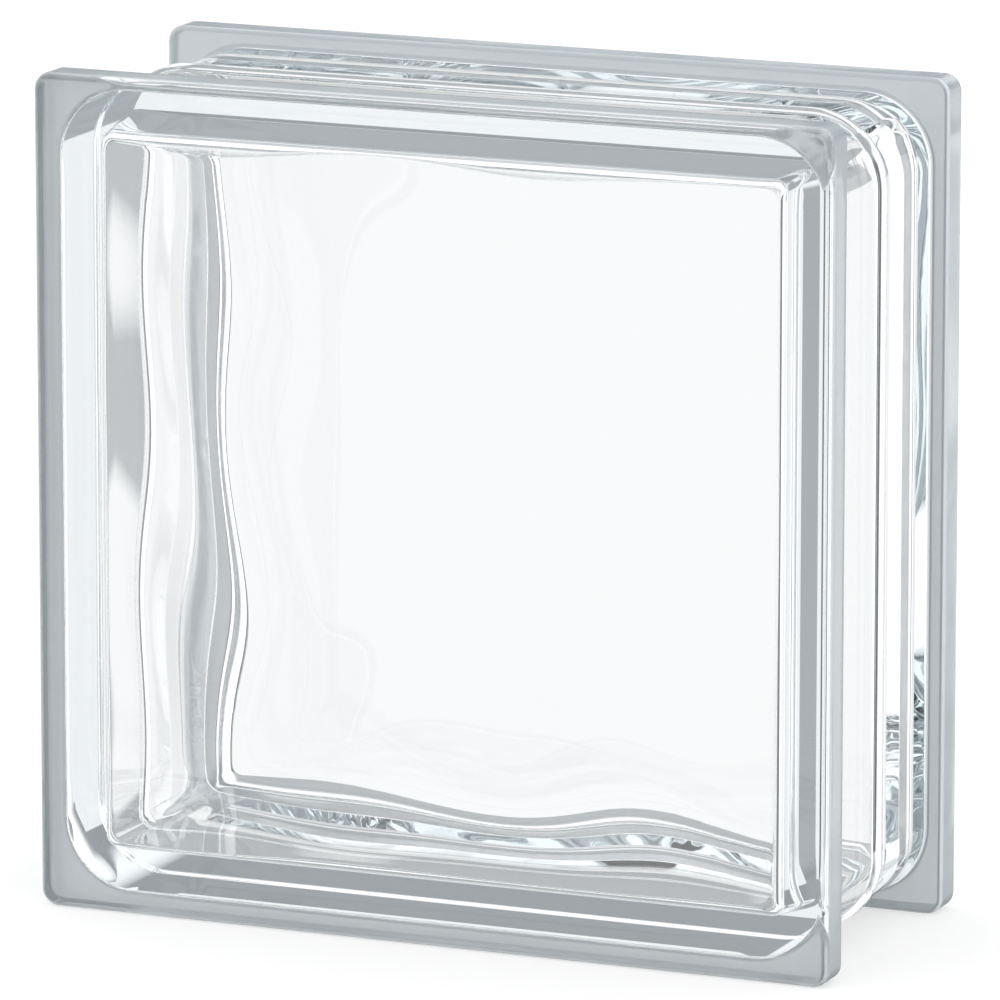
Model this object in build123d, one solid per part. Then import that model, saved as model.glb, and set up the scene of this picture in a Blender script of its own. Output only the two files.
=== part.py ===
from build123d import *
import math
import os

# A hollow glass block: two pressed glass trays, each a square face with a flange and four walls,
# welded rim to rim at mid-depth into one piece of glass round a sealed cavity.
# Millimetres. X is the width, Y the depth with the front face towards -Y, Z is up.
# The origin is at the middle of the underside.

# Overall size of the block
block_width = 190.0
block_height = 190.0
block_depth = 80.0

# Flange round each face
flange_thickness = 9.5
flange_corner_radius = 4.0
face_edge_rounding = 2.0
flange_back_bevel = 1.0

# Mortar channel round the four edges, between the flanges
channel_depth = 4.0
channel_corner_radius = 16.0
channel_root_rounding = 1.5

# Bead of glass squeezed out along the weld
seam_bead_width = 5.6
seam_bead_height = 1.2

# Sealed cavity: the glass round it at the weld and behind each face, and the shape of the plunger that pressed it
wall_thickness = 7.3
face_thickness = 8.6
cavity_corner_radius = 3.0
plunger_end_rounding = 6.7
plunger_draft_degrees = 4.0

# Waves pressed into the inside of each face: the main swell's length, and the most that the swells can add up to
wave_length = 78.6
wave_height = 1.48
points_per_wave = 10

# The swells that make up the waves: their lengths and heights as shares of the two sizes above,
# the direction that each runs in, and where in its cycle it crosses the middle of the face
swell_length_shares = (1.00, 0.755, 0.60)
swell_height_shares = (0.54, 0.245, 0.215)
swell_headings_degrees = (11.6, 122.9, 39.8)
swell_phases_degrees = (69.9, 7.9, 183.0)

# How far a cutting shape reaches past what it cuts, and how far the plunger's plain end clears the highest wave
overrun = 12.0
plunger_end_clearance = 0.3

# Sizes that follow from the ones above
half_depth = block_depth / 2
neck_width = block_width - 2 * channel_depth
neck_height = block_height - 2 * channel_depth
cavity_width = neck_width - 2 * wall_thickness
cavity_height = neck_height - 2 * wall_thickness
cavity_reach = half_depth - face_thickness


def wave_rise(x, y):
    """How far the glass inside a face stands proud of its mean level at a point of that face."""
    rise = 0
    swells = zip(swell_length_shares, swell_height_shares, swell_headings_degrees, swell_phases_degrees)
    for length_share, height_share, heading, phase in swells:
        along = x * math.cos(math.radians(heading)) + y * math.sin(math.radians(heading))
        turn = 2 * math.pi * along / (wave_length * length_share) + math.radians(phase)
        rise += wave_height * height_share * math.sin(turn)
    return rise


def wavy_face_glass():
    """The glass beyond one wavy inner face, wider all round than the cavity that it closes."""
    span_x = cavity_width + 2 * overrun
    span_y = cavity_height + 2 * overrun
    count_x = math.ceil(span_x / wave_length * points_per_wave)
    count_y = math.ceil(span_y / wave_length * points_per_wave)
    rows = []
    for j in range(count_y + 1):
        y = span_y * (j / count_y) - span_y / 2
        xs = [span_x * (i / count_x) - span_x / 2 for i in range(count_x + 1)]
        rows.append([(x, y, cavity_reach - wave_rise(x, y)) for x in xs])
    skin = Face.make_surface_from_array_of_points(rows, min_deg=3, max_deg=3)
    return Solid.extrude(skin, Vector(0, 0, half_depth))


def plunger():
    """The hollow that the plunger leaves in one tray: drafted walls, a rounded and wavy end, small corners."""
    plain_reach = cavity_reach + wave_height + plunger_end_clearance
    drafted = extrude(Rectangle(cavity_width, cavity_height), plain_reach, taper=plunger_draft_degrees)
    plain_end = drafted.faces().sort_by(Axis.Z)[-1]
    rounded = fillet(plain_end.edges(), plunger_end_rounding)
    waved = rounded - wavy_face_glass()
    # The edges farthest from the middle are the four corners of the walls and the four mitres of the rounded end
    corners = waved.edges().sort_by(SortBy.DISTANCE)[-8:]
    return fillet(corners, cavity_corner_radius)


def tray():
    """One pressed tray, with its weld rim on Z = 0 and its face at the top."""
    neck = extrude(RectangleRounded(neck_width, neck_height, channel_corner_radius), half_depth)
    plate = extrude(RectangleRounded(block_width, block_height, flange_corner_radius), flange_thickness)
    body = neck + Pos(0, 0, half_depth - flange_thickness) * plate
    flange_back = body.faces().filter_by(Axis.Z).sort_by(Axis.Z)[1]
    body = fillet(flange_back.inner_wires()[0].edges(), channel_root_rounding)
    flange_back = body.faces().filter_by(Axis.Z).sort_by(Axis.Z)[1]
    body = chamfer(flange_back.outer_wire().edges(), flange_back_bevel)
    face = body.faces().filter_by(Axis.Z).sort_by(Axis.Z)[-1]
    body = fillet(face.outer_wire().edges(), face_edge_rounding)
    return body - plunger()


def seam_bead():
    """The low round bead that the weld squeezes out, run once round the neck on Z = 0."""
    path = RectangleRounded(neck_width, neck_height, channel_corner_radius).wire()
    across = Plane(origin=path @ 0, x_dir=(0, 0, 1), z_dir=path % 0)
    foot = seam_bead_width / 2
    crown = ThreePointArc((-foot, 0), (0, seam_bead_height), (foot, 0))
    root = Polyline((foot, 0), (foot, -seam_bead_height), (-foot, -seam_bead_height), (-foot, 0))
    return sweep(across * make_face(crown + root), path=path)


def glass_block():
    """Two trays, the second turned half round about the upright, and the bead, as one piece of glass."""
    front = tray()
    back = Rot(0, 180, 0) * front
    block = front + back + seam_bead()
    standing = Plane(origin=(0, 0, block_height / 2), x_dir=(1, 0, 0), z_dir=(0, -1, 0))
    return standing * block


os.makedirs("parts", exist_ok=True)
export_step(glass_block(), "parts/glass_block.step")
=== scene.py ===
# %% [markdown]
# # A hollow glass block
# A glass block is two shallow trays of pressed glass, welded rim to rim while hot, with air sealed inside.
# What the eye sees of it is almost only refraction: the white studio, bent by thick edges, rounded corners
# and the waves on the inside of both faces. So the lesson spends its effort on the exact shape of the two
# skins, outside and cavity, and on a studio that gives glass something to show.
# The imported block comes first. It fixes the place and the size of everything below.

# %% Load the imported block
import math
import bmesh
import bpy
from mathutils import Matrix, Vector


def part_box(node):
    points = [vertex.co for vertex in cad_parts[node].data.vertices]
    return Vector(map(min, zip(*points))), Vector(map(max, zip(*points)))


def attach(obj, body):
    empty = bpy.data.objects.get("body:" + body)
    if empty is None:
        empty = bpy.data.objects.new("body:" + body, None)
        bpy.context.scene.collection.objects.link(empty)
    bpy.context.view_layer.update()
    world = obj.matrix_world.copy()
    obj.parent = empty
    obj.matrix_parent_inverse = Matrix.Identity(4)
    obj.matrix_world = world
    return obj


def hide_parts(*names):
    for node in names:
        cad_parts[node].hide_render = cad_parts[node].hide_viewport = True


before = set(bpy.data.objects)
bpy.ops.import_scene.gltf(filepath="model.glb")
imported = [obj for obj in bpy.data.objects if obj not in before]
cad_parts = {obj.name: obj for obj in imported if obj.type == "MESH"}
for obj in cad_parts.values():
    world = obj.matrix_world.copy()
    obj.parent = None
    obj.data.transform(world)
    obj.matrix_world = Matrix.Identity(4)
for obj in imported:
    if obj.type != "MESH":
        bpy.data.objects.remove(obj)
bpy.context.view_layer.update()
MM = 0.001
block_low, block_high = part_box("glass_block")
half_side = (block_high.x - block_low.x) / 2
half_depth = (block_high.y - block_low.y) / 2
middle_height = (block_high.z + block_low.z) / 2
print("block", [round(v / MM, 1) for v in block_high - block_low], "mm")

# %% [markdown]
# The outside of the block is a section carried round a square. Cut the block through its middle and the
# section reads: flat face, rounded edge, flange rim, channel root, neck, weld bead, and the same again
# backwards. Curve to Mesh could sweep that section, but the corners of the flange are tight and those of the
# neck are wide, and a sweep cannot change its corner on the way. So each point of the section is written as
# a ring: how far out it lies, how deep, and how round its corners are.

# %% Section of the outside
flange_thickness = 9.5 * MM
flange_corner_radius = 4.0 * MM
face_edge_rounding = 2.0 * MM
flange_back_bevel = 1.0 * MM
channel_depth = 4.0 * MM
channel_corner_radius = 16.0 * MM
channel_root_rounding = 1.5 * MM
seam_bead_width = 5.6 * MM
seam_bead_height = 1.2 * MM
rounding_steps = 8
support = 0.15 * MM


def quarter_turn(steps):
    """Angles from nothing to a right angle, in even steps."""
    return [math.pi / 2 * i / steps for i in range(steps + 1)]


def mirrored(front_rings):
    """Rings from the front to mid-depth, then the same rings behind it."""
    behind = [(half, -depth, radius) for half, depth, radius in reversed(front_rings)]
    return front_rings + [ring for ring in behind if ring[1] > 0]


def outside_section():
    """Rings (half side, depth, corner radius) from the middle of the front face to that of the back face."""
    flat = half_side - face_edge_rounding
    flat_radius = flange_corner_radius - face_edge_rounding
    face_shares = (0.0, 0.25, 0.5, 0.75, 1 - support / flat)
    rings = [(flat * share, -half_depth, flat_radius * share) for share in face_shares]
    for a in quarter_turn(rounding_steps):
        out = face_edge_rounding * math.sin(a)
        rings.append((flat + out, -half_depth + face_edge_rounding * (1 - math.cos(a)), flat_radius + out))
    flange_level = -half_depth + flange_thickness
    rim_end = flange_level - flange_back_bevel
    rings.append((half_side, -half_depth + face_edge_rounding + support, flange_corner_radius))
    rings.append((half_side, rim_end - support, flange_corner_radius))
    rings.append((half_side, rim_end, flange_corner_radius))
    for inward in (flange_back_bevel, flange_back_bevel + support):
        rings.append((half_side - inward, flange_level, flange_corner_radius - inward))
    neck = half_side - channel_depth
    for a in quarter_turn(rounding_steps):
        out = channel_root_rounding * (1 - math.sin(a))
        depth = flange_level + channel_root_rounding * (1 - math.cos(a))
        rings.append((neck + out, depth, channel_corner_radius + out))
    foot = seam_bead_width / 2
    rings.append((neck, flange_level + channel_root_rounding + support, channel_corner_radius))
    rings.append((neck, -foot - support, channel_corner_radius))
    bead_radius = (foot**2 + seam_bead_height**2) / (2 * seam_bead_height)
    for i in range(rounding_steps + 1):
        depth = -foot * (1 - i / rounding_steps)
        out = math.sqrt(bead_radius**2 - depth**2) - (bead_radius - seam_bead_height)
        rings.append((neck + out, depth, channel_corner_radius + out))
    return mirrored(rings)


outside_rings = outside_section()
print("outside rings", len(outside_rings))

# %% [markdown]
# The cavity is what the plunger left: drafted walls, a large rounding all round its end, and small corners
# that keep one radius from the weld to the face. The end is flat for now. The waves come later and cut across
# it and across a part of the rounding, as they do on the steel plunger.

# %% Section of the cavity
wall_thickness = 7.3 * MM
face_thickness = 8.6 * MM
cavity_corner_radius = 3.0 * MM
plunger_end_rounding = 6.7 * MM
plunger_draft = math.radians(4.0)
plunger_end_clearance = 0.3 * MM
wave_height = 1.48 * MM
cavity_reach = half_depth - face_thickness
end_rings = 56
edge_rings = 30
wall_rings = 6


def cavity_section():
    """Rings of the plain plunger from the middle of its front end to that of its back end."""
    weld_half = half_side - channel_depth - wall_thickness
    end = cavity_reach + wave_height + plunger_end_clearance
    turn_depth = end - plunger_end_rounding
    drafted_half = weld_half - turn_depth * math.tan(plunger_draft)
    turn_half = drafted_half - plunger_end_rounding / math.cos(plunger_draft)
    shares = [i / end_rings for i in range(end_rings)]
    rings = [(turn_half * share, -end, cavity_corner_radius * share) for share in shares]
    for i in range(edge_rings + 1):
        a = math.pi / 2 + (plunger_draft - math.pi / 2) * i / edge_rings
        half = turn_half + plunger_end_rounding * math.cos(a)
        rings.append((half, -turn_depth - plunger_end_rounding * math.sin(a), cavity_corner_radius))
    wall_depth = -rings[-1][1]
    for i in range(1, wall_rings + 1):
        depth = wall_depth * (1 - i / wall_rings)
        half = weld_half - depth * math.tan(plunger_draft)
        rings.append((half, -depth, cavity_corner_radius))
    return mirrored(rings)


cavity_rings = cavity_section()
print("cavity rings", len(cavity_rings))

# %% [markdown]
# Geometry Nodes can carry the rings round the square, because every point follows one rule. A grid has one
# row for each ring and one column for each step of the way round. A column is a place on a quarter of the
# square, either on the straight side or on the corner, turned by its quarter. The section itself travels as
# a string of loose points, whose X, Y and Z hold the ring's half side, depth and corner radius.

# %% Helpers for node trees


def add(tree, kind, **settings):
    """A new node with its settings."""
    made = tree.nodes.new(kind)
    for name, value in settings.items():
        setattr(made, name, value)
    return made


def feed(tree, socket, value):
    """Links a socket to another node's output, or sets its value."""
    if isinstance(value, bpy.types.NodeSocket):
        tree.links.new(value, socket)
    else:
        socket.default_value = value


def maths(tree, operation, *values):
    """The result of a Math node."""
    made = add(tree, "ShaderNodeMath", operation=operation)
    for socket, value in zip(made.inputs, values):
        feed(tree, socket, value)
    return made.outputs[0]


def total(tree, terms):
    """The sum of several sockets."""
    result = terms[0]
    for term in terms[1:]:
        result = maths(tree, "ADD", result, term)
    return result


def new_tree(name, inputs):
    """A Geometry Nodes tree with named inputs, and its Group Input node."""
    tree = bpy.data.node_groups.new(name, "GeometryNodeTree")
    tree.interface.new_socket("Geometry", in_out="OUTPUT", socket_type="NodeSocketGeometry")
    for label, kind in inputs.items():
        tree.interface.new_socket(label, in_out="INPUT", socket_type="NodeSocket" + kind)
    return tree, add(tree, "NodeGroupInput")


print("helpers", [helper.__name__ for helper in (add, feed, maths, total, new_tree)])

# %% [markdown]
# The tree below turns a ring's three numbers into places. The index of a grid point, divided by the number of
# columns, gives its ring and its column. The column gives a quarter of the square and a step in that quarter:
# the first steps run along the straight side, the rest turn round the corner. Where a ring has shrunk to a
# point, and where the last column meets the first, Merge by Distance closes the skin.

# %% Tree that carries rings round a square


def ring_tree():
    """Rings of a section, carried round a square with rounded corners and closed at both ends."""
    sizes = {"Section": "Object", "Rings": "Int", "Side Steps": "Int", "Corner Steps": "Int"}
    sizes["Middle Height"] = "Float"
    tree, given = new_tree("rings_round_a_square", sizes)
    side, corner = given.outputs["Side Steps"], given.outputs["Corner Steps"]
    quarter_steps = maths(tree, "ADD", side, corner)
    columns = maths(tree, "MULTIPLY_ADD", quarter_steps, 4.0, 1.0)
    grid = add(tree, "GeometryNodeMeshGrid")
    feed(tree, grid.inputs["Vertices X"], given.outputs["Rings"])
    feed(tree, grid.inputs["Vertices Y"], columns)
    index = add(tree, "GeometryNodeInputIndex").outputs[0]
    ring = maths(tree, "FLOOR", maths(tree, "DIVIDE", maths(tree, "ADD", index, 0.5), columns))
    column = maths(tree, "SUBTRACT", index, maths(tree, "MULTIPLY", ring, columns))
    quarter = maths(tree, "FLOOR", maths(tree, "DIVIDE", maths(tree, "ADD", column, 0.5), quarter_steps))
    step = maths(tree, "SUBTRACT", column, maths(tree, "MULTIPLY", quarter, quarter_steps))

    section = add(tree, "GeometryNodeObjectInfo", transform_space="ORIGINAL")
    feed(tree, section.inputs["Object"], given.outputs["Section"])
    ring_point = add(tree, "GeometryNodeSampleIndex", data_type="FLOAT_VECTOR", domain="POINT", clamp=True)
    feed(tree, ring_point.inputs["Geometry"], section.outputs["Geometry"])
    feed(tree, ring_point.inputs["Value"], add(tree, "GeometryNodeInputPosition").outputs[0])
    feed(tree, ring_point.inputs["Index"], ring)
    ring_sizes = add(tree, "ShaderNodeSeparateXYZ")
    feed(tree, ring_sizes.inputs[0], ring_point.outputs[0])
    half, depth, radius = ring_sizes.outputs

    along = maths(tree, "MINIMUM", maths(tree, "DIVIDE", step, side), 1.0)
    turned = maths(tree, "DIVIDE", maths(tree, "MAXIMUM", maths(tree, "SUBTRACT", step, side), 0.0), corner)
    angle = maths(tree, "MULTIPLY", turned, math.pi / 2)
    core = maths(tree, "SUBTRACT", half, radius)
    out = maths(tree, "MULTIPLY_ADD", maths(tree, "COSINE", angle), radius, core)
    run = maths(tree, "MULTIPLY", maths(tree, "MULTIPLY_ADD", along, 2.0, -1.0), core)
    across = maths(tree, "MULTIPLY_ADD", maths(tree, "SINE", angle), radius, run)
    heading = maths(tree, "MULTIPLY", quarter, math.pi / 2)
    cosine, sine = maths(tree, "COSINE", heading), maths(tree, "SINE", heading)
    x = maths(tree, "SUBTRACT", maths(tree, "MULTIPLY", out, cosine), maths(tree, "MULTIPLY", across, sine))
    z = maths(tree, "ADD", maths(tree, "MULTIPLY", out, sine), maths(tree, "MULTIPLY", across, cosine))
    place = add(tree, "ShaderNodeCombineXYZ")
    height = maths(tree, "ADD", z, given.outputs["Middle Height"])
    for socket, value in zip(place.inputs, (x, depth, height)):
        feed(tree, socket, value)
    moved = add(tree, "GeometryNodeSetPosition")
    feed(tree, moved.inputs["Geometry"], grid.outputs["Mesh"])
    feed(tree, moved.inputs["Position"], place.outputs[0])
    closed = add(tree, "GeometryNodeMergeByDistance")
    feed(tree, closed.inputs["Geometry"], moved.outputs[0])
    feed(tree, closed.inputs["Distance"], weld_distance)
    feed(tree, add(tree, "NodeGroupOutput").inputs[0], closed.outputs[0])
    return tree


weld_distance = 0.002 * MM
rings_round_a_square = ring_tree()
print("ring tree nodes", len(rings_round_a_square.nodes))

# %% [markdown]
# The waves are long, low swells that run across the inside of each face in different directions. Three sines
# with different lengths and headings, added up, never repeat within one block, which is what the pressed
# pattern looks like. A noise texture could make waves too, but a designer could not state its sizes.
# They are the same on both faces, because both trays come from the same mould, and the back tray is only
# turned round.

# %% Waves on the inside of a face
wave_length = 78.6 * MM
swell_length_shares = (1.00, 0.755, 0.60)
swell_height_shares = (0.54, 0.245, 0.215)
swell_headings_degrees = (11.6, 122.9, 39.8)
swell_phases_degrees = (69.9, 7.9, 183.0)


def wave_depth(tree, x, z, given):
    """How deep the wavy inner face lies at a point of the tray, counted from the weld."""
    rises = []
    swells = zip(swell_length_shares, swell_height_shares, swell_headings_degrees, swell_phases_degrees)
    for length_share, height_share, heading, phase in swells:
        across = maths(tree, "MULTIPLY", z, math.sin(math.radians(heading)))
        along = maths(tree, "MULTIPLY_ADD", x, math.cos(math.radians(heading)), across)
        length = maths(tree, "MULTIPLY", given.outputs["Wave Length"], length_share)
        cycles = maths(tree, "DIVIDE", along, length)
        sine = maths(tree, "SINE", maths(tree, "MULTIPLY_ADD", cycles, 2 * math.pi, math.radians(phase)))
        rises.append(maths(tree, "MULTIPLY", sine, height_share))
    rise = maths(tree, "MULTIPLY", total(tree, rises), given.outputs["Wave Height"])
    return maths(tree, "SUBTRACT", given.outputs["Cavity Reach"], rise)


print("swells", [round(wave_length * share / MM, 1) for share in swell_length_shares], "mm long")

# %% [markdown]
# The block is two skins of one piece of glass: the outside, and the cavity turned inside out so that its
# faces point into the air. A boolean could cut one from the other, but two closed skins in one mesh say the
# same and keep clean, even faces, which refraction needs. The waves move the ends of the cavity. A smooth
# minimum between the plain end and the waves gives the soft line that fire-polished glass has where the
# waves run out on the rounded edge.

# %% Tree of the whole block
wave_blend = 0.5 * MM


def ring_skin(tree, given, section):
    """One skin of the block, from the shared tree of rings."""
    skin = add(tree, "GeometryNodeGroup", node_tree=rings_round_a_square)
    feed(tree, skin.inputs["Section"], given.outputs[section])
    feed(tree, skin.inputs["Rings"], given.outputs[section + " Rings"])
    for label in ("Side Steps", "Corner Steps", "Middle Height"):
        feed(tree, skin.inputs[label], given.outputs[label])
    return skin.outputs[0]


def block_tree():
    """Outer skin and waved cavity skin, joined into one closed piece of glass."""
    sizes = {"Outside": "Object", "Outside Rings": "Int", "Cavity": "Object", "Cavity Rings": "Int"}
    sizes.update({"Side Steps": "Int", "Corner Steps": "Int"})
    for label in ("Middle Height", "Cavity Reach", "Wave Height", "Wave Length", "Wave Blend"):
        sizes[label] = "Float"
    sizes["Glass"] = "Material"
    tree, given = new_tree("hollow_glass_block", sizes)
    place = add(tree, "ShaderNodeSeparateXYZ")
    feed(tree, place.inputs[0], add(tree, "GeometryNodeInputPosition").outputs[0])
    x, depth, z = place.outputs
    turned_round = maths(tree, "SIGN", depth)
    tray_x = maths(tree, "MULTIPLY", maths(tree, "MULTIPLY", x, turned_round), -1.0)
    tray_z = maths(tree, "SUBTRACT", z, given.outputs["Middle Height"])
    waves = wave_depth(tree, tray_x, tray_z, given)
    waved = maths(tree, "SMOOTH_MIN", maths(tree, "ABSOLUTE", depth), waves, given.outputs["Wave Blend"])
    new_place = add(tree, "ShaderNodeCombineXYZ")
    for socket, value in zip(new_place.inputs, (x, maths(tree, "MULTIPLY", waved, turned_round), z)):
        feed(tree, socket, value)
    cavity = add(tree, "GeometryNodeSetPosition")
    feed(tree, cavity.inputs["Geometry"], ring_skin(tree, given, "Cavity"))
    feed(tree, cavity.inputs["Position"], new_place.outputs[0])
    inside_out = add(tree, "GeometryNodeFlipFaces")
    feed(tree, inside_out.inputs[0], cavity.outputs[0])
    both = add(tree, "GeometryNodeJoinGeometry")
    feed(tree, both.inputs[0], inside_out.outputs[0])
    feed(tree, both.inputs[0], ring_skin(tree, given, "Outside"))
    smooth = add(tree, "GeometryNodeSetShadeSmooth")
    feed(tree, smooth.inputs[0], both.outputs[0])
    real = add(tree, "GeometryNodeRealizeInstances")
    feed(tree, real.inputs[0], smooth.outputs[0])
    painted = add(tree, "GeometryNodeSetMaterial")
    feed(tree, painted.inputs[0], real.outputs[0])
    feed(tree, painted.inputs["Material"], given.outputs["Glass"])
    feed(tree, add(tree, "NodeGroupOutput").inputs[0], painted.outputs[0])
    return tree


hollow_glass_block = block_tree()
print("block tree nodes", len(hollow_glass_block.nodes))

# %% [markdown]
# The faces, the neck and the inside of the block are fire-polished. The rims and the backs of the flanges
# lay against the cold mould, and have a fine frosted skin that mortar can hold on to. Seen through the face,
# that skin turns the edges of the block into solid bands of grey. Its colour is a darker grey than frost, and
# so paints part of the shade of those bands. It has no thickness, so it is not a piece: it is a mask in the
# glass material, worked out from Object coordinates and the section's own sizes.

# %% Frosted skin of the flanges
skin_fade = 2 * support


def ramp(tree, value, low, high, at_low=0.0, at_high=1.0):
    """A value carried smoothly from one level to another."""
    made = add(tree, "ShaderNodeMapRange", interpolation_type="SMOOTHSTEP")
    for label, number in (("From Min", low), ("From Max", high), ("To Min", at_low), ("To Max", at_high)):
        feed(tree, made.inputs[label], number)
    feed(tree, made.inputs["Value"], value)
    return made.outputs["Result"]


def flange_skin(tree, where):
    """One on the rims and backs of the two flanges, nothing on the rest of the block."""
    parts = add(tree, "ShaderNodeSeparateXYZ")
    feed(tree, parts.inputs[0], where)
    x, depth, z = parts.outputs
    sideways = maths(tree, "ABSOLUTE", x)
    upright = maths(tree, "ABSOLUTE", maths(tree, "SUBTRACT", z, middle_height))
    core = half_side - channel_depth - channel_corner_radius
    past_x = maths(tree, "MAXIMUM", maths(tree, "SUBTRACT", sideways, core), 0.0)
    past_z = maths(tree, "MAXIMUM", maths(tree, "SUBTRACT", upright, core), 0.0)
    past = maths(tree, "MULTIPLY_ADD", past_x, past_x, maths(tree, "MULTIPLY", past_z, past_z))
    from_core = maths(tree, "SQRT", past)
    outside = ramp(tree, from_core, channel_corner_radius, channel_corner_radius + skin_fade)
    deep = maths(tree, "ABSOLUTE", depth)
    root_ends = half_depth - flange_thickness - channel_root_rounding
    behind_face = ramp(tree, deep, half_depth - support, half_depth - face_edge_rounding)
    on_flange = ramp(tree, deep, root_ends, root_ends + skin_fade)
    return maths(tree, "MULTIPLY", maths(tree, "MULTIPLY", outside, behind_face), on_flange)


print("frosted skin", round(flange_thickness / MM, 1), "mm deep and", round(channel_depth / MM, 1), "mm wide")

# %% [markdown]
# Clear glass needs three things: it bends light by the right amount, it is polished, and it has a little
# colour that only shows where the light travels a long way through it. A tint on the surface would colour the
# thin faces as much as the thick edges. A volume of faint absorption colours each path by its length, so
# the edges turn a cool grey-blue while the faces stay clear. All bending of light is left to the mesh, because
# a bump lives only in the material and would not go with the shape.

# %% Clear glass
glass_ior = 1.52
glass_tint = (0.74, 0.89, 0.95, 1.0)
glass_tint_density = 2.6
frost_low = 0.10
frost_high = 0.28
frost_size = 0.012
frost_clearness = 0.42
# The frost colour is darker than frost: this grey paints part of the shade of the edge bands.
frost_grey_with_painted_shade = (0.58, 0.63, 0.66, 1.0)
plain_white = (1.0, 1.0, 1.0, 1.0)


def clear_glass():
    """Polished clear glass with a cool depth colour, and frosted flanges in a grey that paints part of their
    shade.
    """
    material = bpy.data.materials.new("polished_clear_glass")
    material.use_nodes = True
    tree = material.node_tree
    tree.nodes.clear()
    where = add(tree, "ShaderNodeTexCoord").outputs["Object"]
    glass = add(tree, "ShaderNodeBsdfPrincipled")
    grain = add(tree, "ShaderNodeTexNoise")
    feed(tree, grain.inputs["Vector"], where)
    feed(tree, grain.inputs["Scale"], 1 / frost_size)
    feed(tree, grain.inputs["Detail"], 0.0)
    frost = maths(tree, "MULTIPLY_ADD", grain.outputs[0], frost_high - frost_low, frost_low)
    flange = flange_skin(tree, where)
    feed(tree, glass.inputs["Roughness"], maths(tree, "MULTIPLY", flange, frost))
    # The flanges get the grey frost colour, which paints part of their shade.
    skin = add(tree, "ShaderNodeMix", data_type="RGBA")
    feed(tree, skin.inputs["Factor"], flange)
    feed(tree, skin.inputs["A"], plain_white)
    feed(tree, skin.inputs["B"], frost_grey_with_painted_shade)
    feed(tree, glass.inputs["Base Color"], skin.outputs["Result"])
    feed(tree, glass.inputs["IOR"], glass_ior)
    clearness = maths(tree, "MULTIPLY_ADD", flange, frost_clearness - 1.0, 1.0)
    feed(tree, glass.inputs["Transmission Weight"], clearness)
    depth_colour = add(tree, "ShaderNodeVolumeAbsorption")
    feed(tree, depth_colour.inputs["Color"], glass_tint)
    feed(tree, depth_colour.inputs["Density"], glass_tint_density)
    out = add(tree, "ShaderNodeOutputMaterial")
    feed(tree, out.inputs["Surface"], glass.outputs[0])
    feed(tree, out.inputs["Volume"], depth_colour.outputs[0])
    return material


glass_material = clear_glass()
print("glass material", glass_material.name)

# %% [markdown]
# The tree is now given its sizes. Each input is set by its identifier before the object is evaluated, and
# the result is taken out as a plain mesh, so that nothing live is left on the finished piece.

# %% The block as one mesh
side_steps = 36
corner_steps = 14


def point_string(name, rings):
    """A helper object whose points are the rings of a section."""
    mesh = bpy.data.meshes.new(name)
    mesh.from_pydata(rings, [], [])
    return bpy.data.objects.new(name, mesh)


def plain_mesh(holder, name):
    """The evaluated object as a plain mesh of its own."""
    depsgraph = bpy.context.evaluated_depsgraph_get()
    mesh = bpy.data.meshes.new_from_object(holder.evaluated_get(depsgraph), depsgraph=depsgraph)
    mesh.name = name
    while mesh.materials and mesh.materials[0] is None:
        mesh.materials.pop(index=0)
    return mesh


def make_block():
    """The finished glass block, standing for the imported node."""
    outside = point_string("outside_section", outside_rings)
    cavity = point_string("cavity_section", cavity_rings)
    holder = bpy.data.objects.new("block_holder", bpy.data.meshes.new("block_holder"))
    bpy.context.scene.collection.objects.link(holder)
    nodes = holder.modifiers.new("glass", "NODES")
    nodes.node_group = hollow_glass_block
    values = {
        "Outside": outside,
        "Outside Rings": len(outside_rings),
        "Cavity": cavity,
        "Cavity Rings": len(cavity_rings),
        "Side Steps": side_steps,
        "Corner Steps": corner_steps,
        "Middle Height": middle_height,
        "Cavity Reach": cavity_reach,
        "Wave Height": wave_height,
        "Wave Length": wave_length,
        "Wave Blend": wave_blend,
        "Glass": glass_material,
    }
    for item in hollow_glass_block.interface.items_tree:
        if item.in_out == "INPUT":
            nodes[item.identifier] = values[item.name]
    piece = bpy.data.objects.new("glass_block_clear", plain_mesh(holder, "glass_block_clear"))
    bpy.context.scene.collection.objects.link(piece)
    for helper in (holder, outside, cavity):
        bpy.data.objects.remove(helper)
    return piece


block = make_block()
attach(block, "root")
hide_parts("glass_block")
print("made", block.name, "with", len(block.data.vertices), "points")

# %% [markdown]
# Refraction goes wrong at any hole in a skin, or where a skin is turned the wrong way. So the mesh is
# measured: no edge may be open, and the volume of the outside less that of the cavity is the glass.

# %% Measure the mesh
CM = 10 * MM
check = bmesh.new()
check.from_mesh(block.data)
open_edges = sum(1 for edge in check.edges if not edge.is_manifold)
glass_volume = check.calc_volume(signed=True)
print("faces", len(check.faces), "open edges", open_edges)
print("glass", round(glass_volume / CM**3, 1), "cm3")
print("materials", [m.name for m in block.data.materials])
check.free()

# %% [markdown]
# Glass shows what stands round it, so its studio is built for it. A few lamps would only leave small hard
# glints, where large, even surfaces and the edges between them draw the shape of glass. So there are no
# lamps, and the surround of the scene is one function of direction: how far round, in degrees from the front
# of the block, and how far up or down. Two helpers measure a direction for the surfaces that follow.

# %% Measure a direction


def away_from(tree, azimuth, middle):
    """How many degrees a direction lies to either side of a middle direction."""
    turned = maths(tree, "SUBTRACT", azimuth, middle)
    return maths(tree, "ABSOLUTE", maths(tree, "WRAP", turned, 180.0, -180.0))


def between(tree, value, low, high, soft):
    """One between two levels, nothing outside them, with soft ends."""
    above = ramp(tree, value, low - soft, low)
    return maths(tree, "MULTIPLY", above, ramp(tree, value, high + soft, high))


print("helpers", [helper.__name__ for helper in (away_from, between)])

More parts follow.
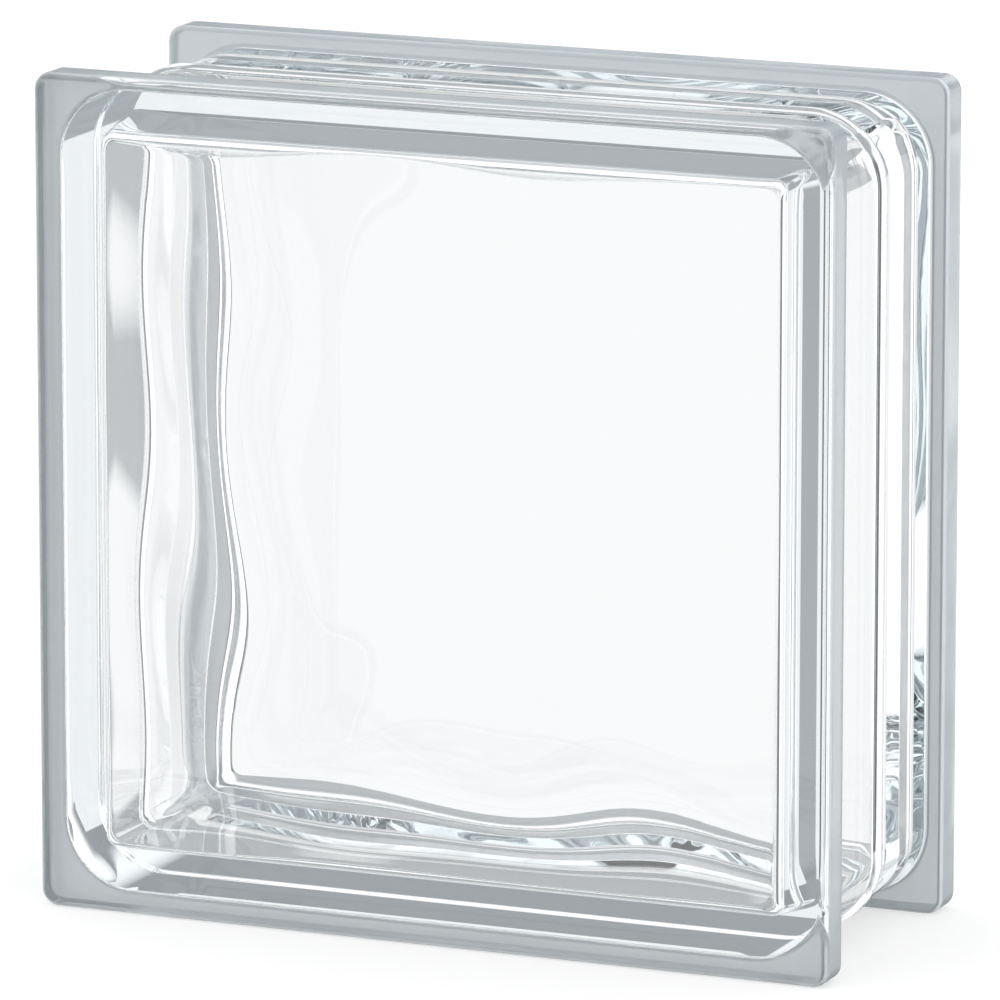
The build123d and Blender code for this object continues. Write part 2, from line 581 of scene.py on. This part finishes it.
# %% [markdown]
# The room is bright to the sides and above, which lights the rims of the flanges. It is dim in front, where
# the camera stands, and grey at the back, a little darker higher up. Levels are heights on a ball of
# directions: minus one is straight down, nothing is level, and one is straight up.

# %% Room of the studio
front_middle = 22.0
front_reach = 14.0
front_dusk = 0.40
back_middle = 187.0
back_reach = 31.0
back_foot = -0.33
back_top = 0.07
back_low = 0.40
back_high = 0.32
side_fade = 12.0
side_light = 1.28
ceiling_starts = 0.22
ceiling_full = 0.52
ceiling_light = 1.05


def room_light(tree, azimuth, z):
    """How bright the empty room is in a direction."""
    front = away_from(tree, azimuth, front_middle)
    back = away_from(tree, azimuth, back_middle)
    ahead = ramp(tree, front, front_reach, front_reach + side_fade, front_dusk, side_light)
    back_wall = ramp(tree, z, back_foot, back_top, back_low, back_high)
    behind = ramp(tree, back, back_reach, back_reach + side_fade, back_wall, side_light)
    ceiling = ramp(tree, z, ceiling_starts, ceiling_full, 0.0, ceiling_light)
    return maths(tree, "MAXIMUM", maths(tree, "MINIMUM", ahead, behind), ceiling)


print("room", side_light, "at the sides,", back_low, "to", back_high, "behind")

# %% [markdown]
# Behind the block hangs a white cloth. Its left edge, as the camera sees it, ends just past the view straight
# through the block, and its top ends a little above the level. A place where the glass bends the view a few
# degrees too far misses the cloth and turns grey: that draws the bands of the edges and the lines round the
# window. Two dark cards, one beside the cloth and one at the right, deepen some of those lines.

# %% Cloth and dark cards
cloth_middle = 181.9
cloth_reach = 32.6
cloth_fade = 2.2
cloth_light = 0.91
cloth_foot = back_foot
cloth_top = back_top
cloth_soft = 0.04
dark_cards = ((108.0, 15.0), (222.0, 6.0))
card_fade = 4.0
card_foot = -0.36
card_top = 0.02
card_dark = 0.85


def studio_light(tree, x, y, z):
    """How bright the room with its cloth and cards is in a direction."""
    azimuth = maths(tree, "DEGREES", maths(tree, "ARCTAN2", x, maths(tree, "MULTIPLY", y, -1.0)))
    wide = ramp(tree, away_from(tree, azimuth, cloth_middle), cloth_reach, cloth_reach - cloth_fade)
    cloth = maths(tree, "MULTIPLY", wide, between(tree, z, cloth_foot, cloth_top, cloth_soft))
    hung = maths(tree, "MULTIPLY", cloth, cloth_light)
    lit = maths(tree, "MAXIMUM", room_light(tree, azimuth, z), hung)
    tall = between(tree, z, card_foot, card_top, cloth_soft)
    for middle, reach in dark_cards:
        wide = ramp(tree, away_from(tree, azimuth, middle), reach, reach - card_fade)
        card = maths(tree, "MULTIPLY", wide, tall)
        lit = maths(tree, "MULTIPLY", lit, maths(tree, "MULTIPLY_ADD", card, -card_dark, 1.0))
    return lit


print("cloth", 2 * cloth_reach, "degrees wide, cards", len(dark_cards))

# %% [markdown]
# The surround puts these together. Its colour is cool where it is dark and white where it is bright. A ray
# straight from the camera sees plain white, so that the picture has a white background without more light
# falling on the block. A ray that has been in the glass sees the room and the cloth instead, because plain
# white all round would leave clear glass without any edges.

# %% Surround of the scene
shade_colour = (0.86, 0.95, 1.0, 1.0)


def make_world():
    """The studio as the surround of the scene, and plain white where the camera looks past the block."""
    world = bpy.data.worlds.new("studio_surround")
    bpy.context.scene.world = world
    world.use_nodes = True
    tree = world.node_tree
    tree.nodes.clear()
    direction = add(tree, "ShaderNodeSeparateXYZ")
    feed(tree, direction.inputs[0], add(tree, "ShaderNodeTexCoord").outputs["Generated"])
    lit = studio_light(tree, *direction.outputs)
    light = add(tree, "ShaderNodeBackground")
    seen = add(tree, "ShaderNodeLightPath").outputs["Is Camera Ray"]
    strength = maths(tree, "MAXIMUM", lit, seen)
    feed(tree, light.inputs["Strength"], strength)
    shade = add(tree, "ShaderNodeMix", data_type="RGBA")
    feed(tree, shade.inputs["Factor"], strength)
    feed(tree, shade.inputs["A"], shade_colour)
    feed(tree, shade.inputs["B"], plain_white)
    feed(tree, light.inputs["Color"], shade.outputs["Result"])
    feed(tree, add(tree, "ShaderNodeOutputWorld").inputs["Surface"], light.outputs[0])
    return tree


print("studio nodes", len(make_world().nodes))

# %% [markdown]
# The floor is matt and pale. To the camera it has a little white of its own, so that it meets the white
# surround without an edge and still takes the block's soft shadow. Rays that have been through the glass or
# off it pass the floor, because the cloth reaches down in front of it: they see the studio light instead.

# %% Floor
floor_size = 6.0
floor_gap = 0.05 * MM
floor_white = 0.50
floor_lift = 0.55


def floor_material():
    """Matt pale floor with a little white of its own."""
    material = bpy.data.materials.new("studio_floor")
    material.use_nodes = True
    tree = material.node_tree
    tree.nodes.clear()
    path = add(tree, "ShaderNodeLightPath")
    matt = add(tree, "ShaderNodeBsdfDiffuse")
    feed(tree, matt.inputs["Color"], (floor_white, floor_white, floor_white, 1.0))
    lift = add(tree, "ShaderNodeEmission")
    feed(tree, lift.inputs["Strength"], maths(tree, "MULTIPLY", path.outputs["Is Camera Ray"], floor_lift))
    pale = add(tree, "ShaderNodeAddShader")
    feed(tree, pale.inputs[0], matt.outputs[0])
    feed(tree, pale.inputs[1], lift.outputs[0])
    shown = add(tree, "ShaderNodeMixShader")
    in_glass = maths(tree, "MAXIMUM", path.outputs["Is Glossy Ray"], path.outputs["Is Transmission Ray"])
    feed(tree, shown.inputs[0], in_glass)
    feed(tree, shown.inputs[1], pale.outputs[0])
    feed(tree, shown.inputs[2], add(tree, "ShaderNodeBsdfTransparent").outputs[0])
    feed(tree, add(tree, "ShaderNodeOutputMaterial").inputs["Surface"], shown.outputs[0])
    return material


def make_floor():
    """A large square floor under the block."""
    reach = floor_size / 2
    mesh = bpy.data.meshes.new("studio_floor")
    corners = [(-reach, -reach, 0), (reach, -reach, 0), (reach, reach, 0), (-reach, reach, 0)]
    mesh.from_pydata(corners, [], [(0, 1, 2, 3)])
    mesh.materials.append(floor_material())
    floor = bpy.data.objects.new("studio_floor", mesh)
    floor.location.z = block_low.z - floor_gap
    bpy.context.scene.collection.objects.link(floor)
    return floor


make_floor()
print("floor", floor_size, "m")

# %% [markdown]
# A long lens from two metres away keeps the upright edges of the block almost parallel, as in a product
# picture. The angle was found by fitting a camera to the corners of the block, whose size is known, so it is
# written as an azimuth, an elevation and a distance from the middle of the block. A small lens shift puts
# the block in the same place of the frame.

# %% Camera
camera_azimuth = math.radians(23.17)
camera_elevation = math.radians(11.97)
camera_distance = 2.174
focal_pixels = 9748.0
picture_pixels = 1000.0
aim_pixel = (497.8, 492.7)
sensor_width_mm = 36.0


def make_camera():
    """The camera at the photograph's viewing angle."""
    data = bpy.data.cameras.new("studio_camera")
    data.sensor_width = sensor_width_mm
    data.lens = focal_pixels / picture_pixels * sensor_width_mm
    data.shift_x = 0.5 - aim_pixel[0] / picture_pixels
    data.shift_y = aim_pixel[1] / picture_pixels - 0.5
    flat = math.cos(camera_elevation)
    across = math.sin(camera_azimuth) * flat
    towards = -math.cos(camera_azimuth) * flat
    back = Vector((across, towards, math.sin(camera_elevation)))
    camera = bpy.data.objects.new("studio_camera", data)
    camera.location = Vector((0, 0, middle_height)) + back * camera_distance
    camera.rotation_euler = (-back).to_track_quat("-Z", "Y").to_euler()
    bpy.context.scene.collection.objects.link(camera)
    bpy.context.scene.camera = camera
    return data


print("lens", round(make_camera().lens, 1), "mm")

# %% [markdown]
# Light that enters the thick edge of a face is caught in it, and bounces many times between the two skins
# before it leaves. Each of those bounces is a mirror reflection inside the glass, which Cycles counts as
# glossy, so with few bounces the edges turn black. The limits are raised for that, and the Standard view
# transform shows the colours as they are written.

# %% Picture settings
scene = bpy.context.scene
scene.view_settings.view_transform = "Standard"
scene.cycles.max_bounces = 26
scene.cycles.transmission_bounces = 26
scene.cycles.glossy_bounces = 26
scene.cycles.diffuse_bounces = 4
